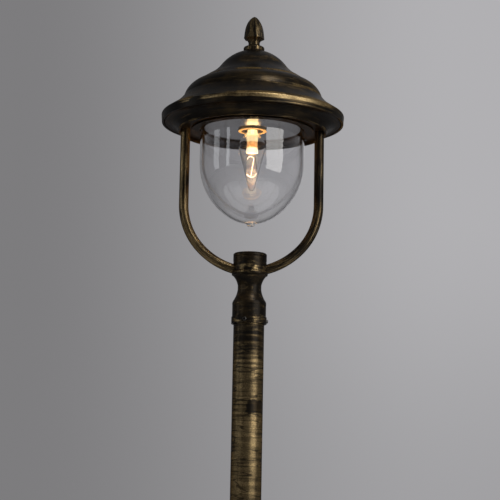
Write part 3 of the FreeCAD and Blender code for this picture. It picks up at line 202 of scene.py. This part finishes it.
def around(tree, turns, fine, slope=0.7):
    """Coordinates that run slowly round the axis and fast up the profile, and the height.

    They have no seam, and the slope makes them go on over flat faces.
    """
    radius, x, y, z = from_axis(tree)
    safe = tree.math("MAXIMUM", radius, 0.001)
    up = tree.times(tree.add(z, tree.times(radius, slope)), fine)
    vector = tree.join(tree.times(tree.math("DIVIDE", x, safe), turns),
                       tree.times(tree.math("DIVIDE", y, safe), turns), up)
    return vector, z


# Finishes

def finish_patina(tree, gold, streaks):
    """Dark paint, umber haze and gold where the mask says, with relief of strokes and casting."""
    place = tree.place()
    cloud = tree.noise(place, 26, detail=5, roughness=0.6)
    grain = tree.noise(place, 900, detail=3, roughness=0.6)
    haze = tree.ramp(tree.add(cloud, tree.swing(streaks, 0.6)), 0.40, 0.72)
    under = tree.mix(haze, DARK, UMBER)
    rich = tree.mix(tree.ramp(grain, 0.35, 0.65), BRONZE, GOLD)
    cast = tree.bump(tree.noise(place, 420, detail=4, roughness=0.65), 0.16, 0.0006)
    strokes = tree.bump(streaks, 0.22, 0.0005, cast)
    tree.set(Base_Color=tree.mix(gold, under, rich),
             Metallic=tree.ramp(gold, 0.05, 0.6, 0.60, 0.90),
             Roughness=tree.add(tree.ramp(gold, 0, 1, 0.31, 0.36), tree.swing(grain, 0.24)),
             Normal=tree.bump(gold, 0.10, 0.0003, strokes),
             Specular_IOR_Level=PAINT_SPECULAR, Specular_Tint=PAINT_TINT)
    return tree.owner


def round_patina(name, ridges, base, turns=1.6, fine=330, reach=0.22, painted_light_lean=0):
    """Patina for a turned piece: gold brushed round it, strongest on its ridges, where it is partly
    a painted highlight.

    The lean gives the right side more gold, as a painted highlight where the key light falls. With
    one, the ridges have less gold to the left and at both ends, as painted shade on the dim side
    and at the edges.
    """
    tree = new_finish(name)
    vector, z = around(tree, turns, fine)
    streaks = tree.noise(vector, 1, detail=5, roughness=0.62, distortion=0.35)
    wide = tree.noise(tree.scaled(vector, (1.1, 1.1, 0.16)), 1, detail=3)
    patches = tree.noise(tree.scaled(vector, (3.2, 3.2, 0.25)), 1, detail=4)
    patchy = tree.ramp(patches, 0.36, 0.58, 0.45, 1.1)
    x = tree.split(tree.place())["X"]
    # Painted light: more gold to the right, where the key light falls, and painted shade to the
    # left and at both ends.
    bias = tree.ramp(x, -0.1, 0.1, base - painted_light_lean, base + painted_light_lean)
    if painted_light_lean:
        ends = tree.ramp(tree.math("ABSOLUTE", x), 0.082, 0.101, 1, 0.2)
        spread = tree.times(tree.ramp(x, -0.06, 0.03, 0.66, 1), ends)
        patchy = tree.times(patchy, spread)
    for middle, half, soft, share in ridges:
        # Ridge gold: brushed gold, and partly a painted highlight line.
        ridge_gold_and_highlight = tree.times(tree.band(z, middle, half, soft), share)
        bias = tree.add(bias, tree.times(ridge_gold_and_highlight, patchy))
    level = tree.add(bias, tree.add(tree.swing(streaks, STREAK_SWING), tree.swing(wide, 0.9)))
    return finish_patina(tree, tree.ramp(level, 0.5 - reach, 0.5 + reach), streaks)


def rod_patina(name, base, painted_light_lean):
    """Patina for the bent arms: gold brushed along them in long thin lines, with more gold at the
    left as painted light and less at the right as painted shade.
    """
    tree = new_finish(name)
    x, _, z = tree.split(tree.place())
    nx, ny, nz = tree.split(tree.coordinates("Normal"))
    out = tree.times(nx, tree.math("SIGN", x))
    low = tree.times(nz, -1)
    along = tree.times(tree.add(z, tree.math("ABSOLUTE", x)), 26)
    vector = tree.join(tree.times(ny, 3.2), tree.times(tree.add(out, low), 3.2), along)
    streaks = tree.noise(vector, 1, detail=5, roughness=0.6, distortion=0.2)
    wide = tree.noise(tree.place(), 20, detail=3)
    # Painted light and shade: more gold on the left arm, less on the right.
    bias = tree.ramp(x, -0.08, 0.08, base + painted_light_lean, base - painted_light_lean)
    level = tree.add(bias, tree.add(tree.swing(streaks, STREAK_SWING), tree.swing(wide, 0.7)))
    return finish_patina(tree, tree.ramp(level, 0.22, 0.82), streaks)


def pole_patina():
    """Patina for the pole: gold with thin dark lines round it, scant at the top, a patch missed."""
    tree = new_finish("pole_patina")
    vector, z = around(tree, 0.45, 360, slope=0)
    streaks = tree.noise(vector, 1, detail=5, roughness=0.62, distortion=0.5)
    wide = tree.noise(tree.scaled(vector, (1.3, 1.3, 0.10)), 1, detail=3)
    contour = tree.noise(tree.scaled(vector, (0.9, 0.9, 0.36)), 1, detail=2, roughness=0.4)
    lines = tree.ramp(tree.math("ABSOLUTE", tree.minus(contour, 0.5)), 0.004, 0.040)
    x, y, _ = tree.split(tree.place())
    turn = tree.math("ARCTAN2", x, tree.times(y, -1))
    ragged = tree.swing(tree.noise(tree.place(), 150, detail=4), 0.016)
    ragged_turn = tree.add(turn, tree.times(ragged, 30))
    missed = tree.times(tree.band(tree.add(z, ragged), MISSED_HEIGHT, MISSED_HALF, MISSED_SOFT),
                        tree.band(ragged_turn, MISSED_TURN, MISSED_TURN_HALF, MISSED_TURN_SOFT))
    scant = tree.ramp(tree.add(z, tree.times(ragged, 2.2)), SCANT_FROM, SCANT_TO)
    level = tree.add(tree.swing(streaks, STREAK_SWING), tree.swing(wide, 1.0))
    level = tree.minus(tree.add(level, 0.60), tree.times(missed, 1.3))
    level = tree.minus(level, tree.times(scant, 0.36))
    gold = tree.times(tree.ramp(level, 0.10, 1.05), tree.ramp(lines, 0, 1, 0.15, 1))
    return finish_patina(tree, gold, streaks)


def plated(name, color, rough, brushed=(1, 1, 1)):
    """Bare or plated metal with fine drawn lines and uneven gloss."""
    tree = new_finish(name)
    lines = tree.noise(tree.scaled(tree.place(), brushed), 700, detail=3)
    cloud = tree.noise(tree.place(), 40, detail=4)
    darker = tuple(0.62 * part for part in color) + (1,)
    tree.set(Base_Color=tree.mix(tree.ramp(cloud, 0.3, 0.7), darker, color + (1,)), Metallic=1,
             Roughness=tree.ramp(lines, 0.3, 0.7, rough * 0.7, rough * 1.3),
             Normal=tree.bump(lines, 0.08, 0.0002))
    return tree.owner


def moulded(name, color, rough):
    """Moulded plastic, rubber or ceramic with a fine skin."""
    tree = new_finish(name)
    skin = tree.noise(tree.place(), 1200, detail=2)
    cloud = tree.noise(tree.place(), 60, detail=3)
    lighter = tuple(min(1, 1.35 * part + 0.004) for part in color) + (1,)
    tree.set(Base_Color=tree.mix(cloud, color + (1,), lighter),
             Roughness=tree.ramp(skin, 0.3, 0.7, rough * 0.8, min(1, rough * 1.2)),
             Normal=tree.bump(skin, 0.12, 0.0002))
    return tree.owner


def bowl_glass():
    """Blown glass: slow ripples in the wall, a faint film of dust, a clear coat, a ground nub."""
    tree = new_finish("bowl_glass_clear")
    waves = tree.noise(tree.scaled(tree.place(), (1, 1, 0.6)), 22, detail=2)
    film = tree.noise(tree.place(), 55, detail=5, roughness=0.7)
    ground = tree.ramp(tree.height(), NUB_TOP, NUB_CLEAR, 0.55, 0)
    clear = tree.ramp(tree.height(), NUB_TOP, NUB_CLEAR, 0.45, 1)
    tree.set(Base_Color=(0.975, 0.975, 0.985, 1), Transmission_Weight=clear, IOR=1.46,
             Roughness=tree.math("MAXIMUM", ground, tree.ramp(film, 0.52, 0.80, 0.0, 0.06)),
             Normal=tree.bump(waves, 0.06, 0.002),
             Coat_Weight=1.0, Coat_IOR=1.5, Coat_Roughness=0.02)
    return tree.owner


def bulb_glass_painted_glow():
    """Clear thin glass of the bulb, with a painted glow in its neck for the filament's light
    gathered there.
    """
    tree = new_finish("bulb_glass_clear")
    waves = tree.noise(tree.place(), 40, detail=2)
    z = tree.height()
    # Painted glow: the neck's glass emits warm light.
    flare = tree.ramp(z, NECK_FROM, NECK_TO)
    warm = tree.mix(tree.ramp(z, 1.041, 1.046), (1.0, 0.50, 0.17, 1), (1.0, 0.74, 0.37, 1))
    tree.set(Base_Color=(1.0, 0.985, 0.96, 1), Transmission_Weight=1.0, IOR=1.25, Roughness=0.02,
             Normal=tree.bump(waves, 0.04, 0.001), Emission_Color=warm,
             Emission_Strength=tree.times(flare, 0.34))
    return tree.owner


def reflector_sheet():
    """Bright spun aluminium with faint turning lines."""
    tree = new_finish("reflector_sheet")
    radius = from_axis(tree)[0]
    lines = tree.noise(tree.join(tree.times(radius, 900), 0.0, 0.0), 1, detail=3)
    cloud = tree.ramp(tree.noise(tree.place(), 30, detail=3), 0.3, 0.7)
    tree.set(Base_Color=tree.mix(cloud, (0.92, 0.92, 0.93, 1), (0.98, 0.98, 0.985, 1)),
             Metallic=1.0, Roughness=tree.ramp(lines, 0.3, 0.7, 0.10, 0.18),
             Normal=tree.bump(lines, 0.03, 0.0002))
    return tree.owner


def glowing(name, low, high, strength, color_low, color_high):
    """Glass or wire that emits light, its tone changing from one height to the other: on the
    filament this is the lamp, on the stem's glass a painted glow.
    """
    tree = new_finish(name)
    z = tree.height()
    flicker = tree.noise(tree.place(), 500, detail=2)
    tone = tree.mix(tree.ramp(z, low, high), color_low, color_high)
    tree.set(Base_Color=tone, Roughness=0.35, Emission_Color=tone,
             Emission_Strength=tree.times(tree.ramp(flicker, 0.2, 0.8, 0.8, 1.2), strength))
    return tree.owner


def painted_glow_flare():
    """Glass of the stem's tube with a painted glow: white at the press, amber above it and cream in
    the neck.
    """
    tree = new_finish("painted_glow_flare")
    z = tree.height()
    cloud = tree.noise(tree.place(), 260, detail=3)
    amber = tree.mix(tree.ramp(cloud, 0.35, 0.65), (0.46, 0.22, 0.07, 1), (0.78, 0.42, 0.15, 1))
    tone = tree.mix(tree.ramp(z, AMBER_FROM, AMBER_TO), (1.0, 0.90, 0.66, 1), amber)
    tone = tree.mix(tree.ramp(z, CREAM_FROM, CREAM_TO), tone, (0.94, 0.76, 0.41, 1))
    # The tone is emitted as a painted glow.
    tree.set(Base_Color=tone, Roughness=0.3, Emission_Color=tone,
             Emission_Strength=tree.ramp(cloud, 0.2, 0.8, 0.85, 1.1))
    return tree.owner


def assign(material, *names):
    for name in names:
        mesh = nodes[name].data
        mesh.materials.clear()
        mesh.materials.append(material)


def dress_nodes():
    """Give every CAD node its finish, apart from the filament, which has a piece of its own."""
    assign(round_patina("canopy_patina", ROOF_RIDGES, 0.15, painted_light_lean=0.21), "canopy")
    assign(round_patina("carrier_patina", CARRIER_RIDGES, 0.10), "carrier_ring")
    assign(round_patina("finial_patina", FINIAL_RIDGES, 0.26, turns=5, fine=60, reach=0.34),
           "finial")
    assign(round_patina("hub_patina", HUB_RIDGES, 0.14, turns=1.2, fine=240), "hub", "hub_cap")
    assign(round_patina("collar_patina", COLLAR_RIDGES, 0.20, turns=1.2, fine=240), "collar")
    assign(round_patina("foot_patina", FOOT_RIDGES, 0.20), "foot", "foot_socket")
    assign(rod_patina("arm_patina", 0.35, 0.13), "arm_left", "arm_right")
    assign(pole_patina(), "pole")
    assign(round_patina("bowl_ring_patina", (), 0.08), "bowl_ring")
    assign(plated("dark_screws", (0.09, 0.085, 0.08), 0.42),
           "foot_screws", "collar_screws", "bowl_screws")
    assign(plated("zinc_steel", (0.55, 0.55, 0.53), 0.32, brushed=(1, 1, 6)),
           "neck_nipple", "hub_nuts", "arm_nuts", "threaded_tube", "tube_nuts", "strap",
           "strap_screws", "terminal_screw")
    assign(moulded("sealing_rubber", (0.012, 0.012, 0.012), 0.75), "finial_washer", "bowl_gasket")
    assign(moulded("terminal_plastic", (0.62, 0.60, 0.54), 0.5), "terminal_block")
    assign(reflector_sheet(), "reflector")
    assign(moulded("holder_plastic", (0.030, 0.024, 0.018), 0.42),
           "lampholder_skirt", "lampholder_cap")
    assign(moulded("ring_plastic", (0.36, 0.27, 0.14), 0.45), "shade_ring")
    assign(moulded("holder_ceramic", (0.70, 0.67, 0.60), 0.25), "lampholder_insert")
    assign(plated("contact_brass", (0.72, 0.50, 0.20), 0.28),
           "lampholder_thread", "lampholder_contact", "bulb_cap")
    assign(moulded("black_glass", (0.008, 0.008, 0.009), 0.12), "bulb_insulator")
    assign(plated("solder", (0.50, 0.50, 0.50), 0.45), "bulb_contact")
    assign(bulb_glass_painted_glow(), "bulb_glass")
    assign(bowl_glass(), "glass_bowl")
    # Painted glow: the stem's glass emits light for the filament's light gathered in it.
    assign(glowing("painted_glow_stem", 1.030, 1.042, 0.8, (1.0, 0.46, 0.16, 1), (1.0, 0.80, 0.48, 1)),
           "bulb_stem")
    assign(plated("lead_wire", (0.50, 0.44, 0.36), 0.35), "bulb_leads")


# Pieces inside the bulb

def link(name, data):
    """Put a new object with this data in the scene."""
    thing = bpy.data.objects.new(name, data)
    bpy.context.scene.collection.objects.link(thing)
    return thing


def add_press():
    """The stem's flared tube, with its lower end pressed flat round the lead wires.

    It is a loft over rings of a height, half a width and half a thickness.
    """
    rings = [(1.0440, 0.0074, 0.0074), (1.0400, 0.0070, 0.0070), (1.0340, 0.0066, 0.0066),
             (1.0300, 0.0067, 0.0060), (1.0280, 0.0070, 0.0048), (1.0262, 0.0074, 0.0036),
             (1.0245, 0.0076, 0.0030), (1.0228, 0.0076, 0.0028), (1.0218, 0.0070, 0.0022),
             (1.0212, 0.0054, 0.0012)]
    sides = 40
    shape = bmesh.new()
    loops = []
    for z, wide, thick in rings:
        turns = (2 * math.pi * number / sides for number in range(sides))
        loops.append([shape.verts.new((wide * math.cos(turn), thick * math.sin(turn), z))
                      for turn in turns])
    for upper, lower in zip(loops, loops[1:]):
        for number in range(sides):
            ahead = (number + 1) % sides
            shape.faces.new((upper[number], lower[number], lower[ahead], upper[ahead]))
    shape.faces.new(loops[0])
    shape.faces.new(loops[-1])
    bmesh.ops.recalc_face_normals(shape, faces=shape.faces)
    mesh = bpy.data.meshes.new("stem_press")
    shape.to_mesh(mesh)
    shape.free()
    mesh.shade_smooth()
    # The press's glass carries a painted glow.
    mesh.materials.append(painted_glow_flare())
    thing = link("stem_press", mesh)
    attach(thing, "root")


def wire_path():
    """Points of the filament's middle line: a hook at the top, a slanting run, then a loop."""
    hook_x, hook_z, hook_radius = -0.0018, 1.0139, 0.0040
    hook = [(hook_x - hook_radius * math.cos(math.radians(turn)), 0,
             hook_z + hook_radius * math.sin(math.radians(turn))) for turn in range(0, 181, 15)]
    loop = [(-0.00065, 0, 0.9945), (-0.0018, 0.0003, 0.9927), (-0.0044, 0.0013, 0.9934),
            (-0.0061, 0.0027, 0.9951), (-0.0054, 0.0040, 0.9941), (-0.0028, 0.0046, 0.9926),
            (0.0002, 0.0044, 0.9919), (0.0030, 0.0034, 0.9930), (0.0050, 0.0018, 0.9951),
            (0.0059, 0.0002, 0.9964)]
    return [Vector(point) for point in hook + loop]


def even_points(points, step):
    """The same line as a smooth curve, with points at even steps."""
    parts = 24
    fine = []
    last = len(points) - 1
    for number in range(last):
        before, start = points[max(number - 1, 0)], points[number]
        end, after = points[number + 1], points[min(number + 2, last)]
        for part in range(parts):
            t = part / parts
            fine.append(0.5 * (2 * start + (end - before) * t
                               + (2 * before - 5 * start + 4 * end - after) * t * t
                               + (3 * start - before - 3 * end + after) * t ** 3))
    fine.append(points[-1])
    spaced, left = [fine[0]], step
    for start, end in zip(fine, fine[1:]):
        span = (end - start).length
        while span >= left > 0:
            start = start + (end - start) * (left / span)
            spaced.append(start)
            span = (end - start).length
            left = step
        left -= span
    return spaced


def add_filament():
    """The lit wire, wound as a fine coil along its hook."""
    pitch, coil_radius, wire_radius, points_a_turn = 0.00030, 0.00022, 0.00009, 12
    middle = even_points(wire_path(), pitch / points_a_turn)
    last = len(middle) - 1
    curve = bpy.data.curves.new("filament_coil", "CURVE")
    curve.dimensions = "3D"
    curve.bevel_depth = wire_radius
    curve.bevel_resolution = 1
    curve.use_fill_caps = True
    line = curve.splines.new("POLY")
    line.points.add(last)
    side = Vector((0, 1, 0))
    for number, spot in enumerate(middle):
        ahead = (middle[min(number + 1, last)] - middle[max(number - 1, 0)]).normalized()
        side = (side - ahead * side.dot(ahead)).normalized()
        turn = 2 * math.pi * number / points_a_turn
        place = spot + coil_radius * (math.cos(turn) * side + math.sin(turn) * ahead.cross(side))
        line.points[number].co = (*place, 1)
    curve.materials.append(glowing("lit_wire", 0.990, 1.016, 2.6,
                                   (1.0, 0.80, 0.60, 1), (1.0, 0.83, 0.66, 1)))
    thing = link("filament_coil", curve)
    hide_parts("bulb_filament")
    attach(thing, "root")


# Studio

def add_camera():
    """The camera at the photograph's angle: tilted up and rolled a little, with no shift."""
    camera = bpy.data.cameras.new("camera")
    camera.sensor_width = SENSOR_WIDTH
    camera.lens = FOCAL_PIXELS / PHOTO_PIXELS * SENSOR_WIDTH
    camera.clip_end = 50
    thing = link("camera", camera)
    tilt, roll = math.radians(90 + CAMERA_TILT), math.radians(CAMERA_ROLL)
    turned = Matrix.Rotation(tilt, 4, "X") @ Matrix.Rotation(roll, 4, "Z")
    thing.matrix_world = Matrix.Translation(CAMERA_PLACE) @ turned
    bpy.context.scene.camera = thing


def add_floor():
    """A pale paper floor just under the foot."""
    bpy.ops.mesh.primitive_plane_add(size=FLOOR_SIDE, location=(0, 0, -FLOOR_DROP))
    floor = bpy.context.object
    floor.name = "floor"
    tree = new_finish("floor_paper")
    soft = tree.noise(tree.place(), 3, detail=3)
    paper = tree.mix(soft, (0.74, 0.74, 0.745, 1), (0.80, 0.80, 0.805, 1))
    tree.set(Base_Color=paper, Roughness=0.85)
    floor.data.materials.append(tree.owner)


def add_world():
    """Grey wall behind the lamp, darker to its left, and a dark room on the camera's side."""
    world = bpy.data.worlds.new("studio")
    bpy.context.scene.world = world
    tree = Tree(world, "Background")
    x, y, z = tree.split(tree.coordinates("Generated"))
    right = tree.mix(tree.ramp(z, -0.02, 0.20), (0.355, 0.351, 0.363, 1), (0.440, 0.435, 0.450, 1))
    wall = tree.mix(tree.ramp(x, -0.16, 0.14), (0.204, 0.201, 0.207, 1), right)
    wall = tree.mix(tree.ramp(x, 0.22, 0.50), wall, (0.170, 0.168, 0.173, 1))
    room = tree.mix(tree.ramp(y, -0.25, 0.60), (0.055, 0.054, 0.056, 1), wall)
    tree.set(Color=room, Strength=1.0)


def place_round(turn, reach, height):
    """A place round the lamp: degrees to the right of the camera's side, reach and height."""
    angle = math.radians(turn)
    return (reach * math.sin(angle), -reach * math.cos(angle), height)


def add_light(name, kind, place, power, color):
    """A light that shows as a reflection, but isn't seen through the glass."""
    light = bpy.data.lights.new(name, kind)
    light.energy = power
    light.color = color
    thing = link(name, light)
    thing.location = place
    thing.visible_transmission = False
    return thing


def add_softbox(name, place, power, color, width, height):
    """A soft rectangle of light that faces the lamp's head."""
    thing = add_light(name, "AREA", place, power, color)
    thing.data.shape = "RECTANGLE"
    thing.data.size = width
    thing.data.size_y = height
    thing.rotation_euler = (Vector(HEAD) - thing.location).to_track_quat("-Z", "Y").to_euler()


def add_lights():
    """A large softbox to the right, two narrow dim ones to the left, one above, and the bulb."""
    add_softbox("key_softbox", place_round(50, 1.6, 1.33), 17.9, WARM, 1.15, 1.55)
    add_softbox("left_softbox", place_round(-53, 1.7, 1.35), 1.6, COOL, 0.22, 1.2)
    add_softbox("far_left_softbox", place_round(-83, 1.7, 1.35), 2.2, COOL, 0.45, 1.1)
    add_softbox("top_softbox", (0.55, -0.75, 2.35), 11, WHITE, 0.5, 0.5)
    glow = add_light("bulb_light", "POINT", FILAMENT, 0.42, AMBER)
    glow.data.shadow_soft_size = 0.012
    glow.data.use_shadow = False
    glow.visible_glossy = False
    glow.visible_camera = False


dress_nodes()
add_press()
add_filament()
add_camera()
add_floor()
add_world()
add_lights()
bpy.context.scene.view_settings.view_transform = "Standard"
